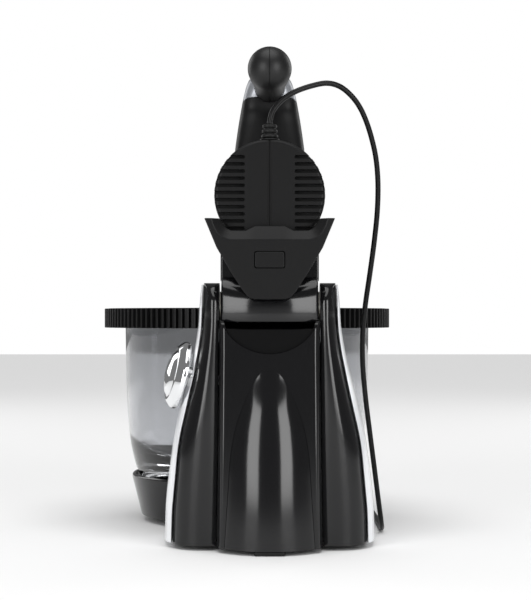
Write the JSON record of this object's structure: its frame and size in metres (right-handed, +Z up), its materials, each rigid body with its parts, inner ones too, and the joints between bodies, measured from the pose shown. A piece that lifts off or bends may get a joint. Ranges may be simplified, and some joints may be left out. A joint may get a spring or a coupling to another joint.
{
  "type": "stand mixer",
  "caption": "Hand mixer on a tilt-head stand with a clear turning bowl driven by its toothed rim, two beaters, latch button and mains cord.",
  "frame": {"origin": "on the floor, under the middle of the object's outline seen from above", "axes": "+Z up; +Y forward, from the column towards the bowl; +X to the right seen from the back. The bowl turns about the Z line at x = 0; the column and the mixer stand on the plane x = 20 mm."},
  "size_m": [0.251, 0.4129, 0.3862],
  "materials": {
    "gloss_black": "glossy black ABS moulding",
    "satin_black": "satin black moulding",
    "white_panel": "glossy white side panel",
    "silver_paint": "silver-painted trim",
    "clear_bowl": "clear plastic bowl, slightly smoky",
    "chrome": "polished chrome",
    "steel": "plain steel",
    "rubber": "black rubber",
    "nylon": "natural nylon gear",
    "copper": "laminated core and copper winding",
    "board": "circuit board"
  },
  "bodies": {
    "base": {"base_housing": "gloss_black", "base_plate": "satin_black", "base_screw_1": "steel", "base_screw_2": "steel", "base_screw_3": "steel", "base_screw_4": "steel", "foot_left": "rubber", "foot_right": "rubber", "foot_front_left": "rubber", "foot_front_right": "rubber", "foot_rear": "rubber", "side_shell_right": "gloss_black", "side_shell_left": "gloss_black", "side_panel_right": "white_panel", "side_panel_left": "white_panel", "rear_cover": "gloss_black", "hinge_well": "satin_black", "front_cover": "gloss_black", "latch_spring": "steel", "hinge_pin": "steel", "hinge_washer_left": "nylon", "hinge_washer_right": "nylon", "turntable_pivot": "steel", "power_cord": "rubber", "cord_coil": "rubber", "plug": "rubber"},
    "head": {"arm_body": "gloss_black", "arm_lower_cover": "satin_black", "idler_pin": "steel", "cradle": "satin_black", "release_spring": "steel", "mixer_housing_left": "satin_black", "mixer_housing_right": "satin_black", "handle_trim": "silver_paint", "control_board": "board", "motor_stator": "copper", "gear_frame": "steel", "cord_strain_relief": "rubber"},
    "bowl": {"bowl": "clear_bowl", "bowl_toothed_rim": "satin_black", "turntable": "satin_black"},
    "bowl_drive": {"bowl_drive_gear": "nylon"},
    "idler": {"idler_gear": "nylon"},
    "beater_set_left": {"worm_wheel_left": "nylon", "beater_left": "chrome", "beater_collar_gear": "nylon"},
    "beater_set_right": {"worm_wheel_right": "nylon", "beater_right": "chrome"},
    "rotor": {"motor_rotor": "steel", "cooling_fan": "nylon"},
    "tilt_button": {"tilt_button": "chrome"},
    "latch": {"latch_bar": "steel"},
    "release_button": {"release_button": "satin_black"},
    "speed_selector": {"speed_selector": "silver_paint"},
    "turbo_button": {"turbo_button": "satin_black"},
    "eject_button": {"eject_button": "silver_paint"}
  },
  "joints": [
    {"name": "head_tilt", "type": "hinge", "parent": "base", "child": "head", "pos_m": [0.02, -0.13335, 0.1855], "axis": [1, 0, 0], "range_deg": [0, 45], "deforming": ["power_cord"]},
    {"name": "beater_left_spin", "type": "hinge", "parent": "head", "child": "beater_set_left", "pos_m": [0.0005, -0.00635, 0.1], "axis": [0, 0, 1], "continuous": true},
    {"name": "beater_right_spin", "type": "hinge", "parent": "head", "child": "beater_set_right", "pos_m": [0.0395, -0.00635, 0.1], "axis": [0, 0, 1], "continuous": true},
    {"name": "idler_spin", "type": "hinge", "parent": "head", "child": "idler", "pos_m": [0.01401, -0.03564, 0.2125], "axis": [0, 0, 1], "continuous": true},
    {"name": "bowl_drive_spin", "type": "hinge", "parent": "head", "child": "bowl_drive", "pos_m": [0.02, -0.08099, 0.2], "axis": [0, 0, 1], "continuous": true},
    {"name": "bowl_spin", "type": "hinge", "parent": "base", "child": "bowl", "pos_m": [0, 0.05285, 0.1], "axis": [0, 0, 1], "continuous": true},
    {"name": "motor_spin", "type": "hinge", "parent": "head", "child": "rotor", "pos_m": [0.02, -0.07835, 0.2694], "axis": [0, 1, 0], "continuous": true},
    {"name": "tilt_button_press", "type": "slide", "parent": "base", "child": "tilt_button", "axis": [0.9511, 0.2022, -0.2334], "range_m": [0, 0.0035]},
    {"name": "latch_slide", "type": "slide", "parent": "base", "child": "latch", "axis": [1, 0, 0], "range_m": [0, 0.0034], "stiffness_N_per_m": 500, "springref_m": -0.002, "deforming": ["latch_spring"]},
    {"name": "release_button_press", "type": "slide", "parent": "head", "child": "release_button", "axis": [0, 1, 0], "range_m": [0, 0.0025], "stiffness_N_per_m": 300, "springref_m": -0.001, "deforming": ["release_spring"]},
    {"name": "speed_select", "type": "slide", "parent": "head", "child": "speed_selector", "axis": [0, 1, 0], "range_m": [0, 0.018]},
    {"name": "turbo_press", "type": "slide", "parent": "head", "child": "turbo_button", "axis": [0, 0, -1], "range_m": [0, 0.0015], "stiffness_N_per_m": 300, "springref_m": -0.001},
    {"name": "eject_press", "type": "slide", "parent": "head", "child": "eject_button", "axis": [0, 0, -1], "range_m": [0, 0.004], "stiffness_N_per_m": 300, "springref_m": -0.001}
  ],
  "couplings": [
    {"joint": "beater_right_spin", "follows": "beater_left_spin", "ratio": -1},
    {"joint": "idler_spin", "follows": "beater_left_spin", "ratio": -0.48276},
    {"joint": "bowl_drive_spin", "follows": "beater_left_spin", "ratio": 0.4375},
    {"joint": "bowl_spin", "follows": "beater_left_spin", "ratio": -0.039773},
    {"joint": "motor_spin", "follows": "beater_left_spin", "ratio": 12},
    {"joint": "latch_slide", "follows": "tilt_button_press", "ratio": 0.95112}
  ]
}
